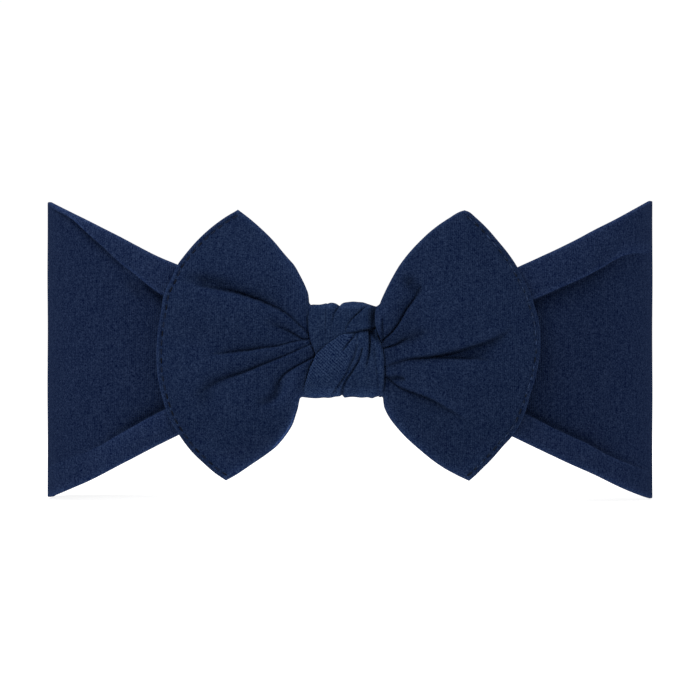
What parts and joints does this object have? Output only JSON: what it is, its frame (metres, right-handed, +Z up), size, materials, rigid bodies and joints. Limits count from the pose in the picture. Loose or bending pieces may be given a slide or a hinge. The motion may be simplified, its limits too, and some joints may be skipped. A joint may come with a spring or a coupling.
{
  "type": "knotted headband",
  "caption": "Soft stretch-knit headband: a flared loop gathered at the front by a knot that also holds a bow, with wings that flex and a loop that stretches to fit a head.",
  "frame": {"origin": "on the surface that the loop stands on, in the middle of its length and depth", "axes": "+X along the loop's length, to the right when the bow is faced; -Y the way that the bow faces; +Z up"},
  "size_m": [0.1892, 0.0995, 0.092],
  "materials": {
    "band_jersey": "matte fine-rib jersey",
    "bow_jersey": "matte fine-rib jersey",
    "knot_jersey": "matte fine-rib jersey",
    "thread": "sewing thread"
  },
  "bodies": {
    "front": {"band_front": "band_jersey", "band_side_left": "band_jersey", "band_side_right": "band_jersey", "knot_upper_strand": "knot_jersey", "knot_lower_strand": "knot_jersey", "knot_rear_strand": "knot_jersey", "knot_tack_thread": "thread", "bow_waist": "bow_jersey", "waist_gathering_thread": "thread"},
    "left_wing": {"bow_left_front_layer": "bow_jersey", "bow_left_back_layer": "bow_jersey", "bow_left_hem_thread": "thread"},
    "right_wing": {"bow_right_front_layer": "bow_jersey", "bow_right_back_layer": "bow_jersey", "bow_right_hem_thread": "thread"},
    "loop_back": {"band_back_left": "band_jersey", "band_back_right": "band_jersey", "back_seam_thread": "thread"}
  },
  "joints": [
    {"name": "left_wing_flex", "type": "hinge", "parent": "front", "child": "left_wing", "pos_m": [-0.0155, -0.0424, 0.046], "axis": [0, 0, 1], "range_deg": [0, 50], "stiffness_Nm_per_rad": 0.002},
    {"name": "right_wing_flex", "type": "hinge", "parent": "front", "child": "right_wing", "pos_m": [0.013, -0.0424, 0.046], "axis": [0, 0, -1], "range_deg": [0, 50], "stiffness_Nm_per_rad": 0.002},
    {"name": "loop_stretch", "type": "slide", "parent": "front", "child": "loop_back", "axis": [0, 1, 0], "range_m": [-0.045, 0.045], "stiffness_N_per_m": 40, "deforming": ["band_side_left", "band_side_right"]}
  ]
}
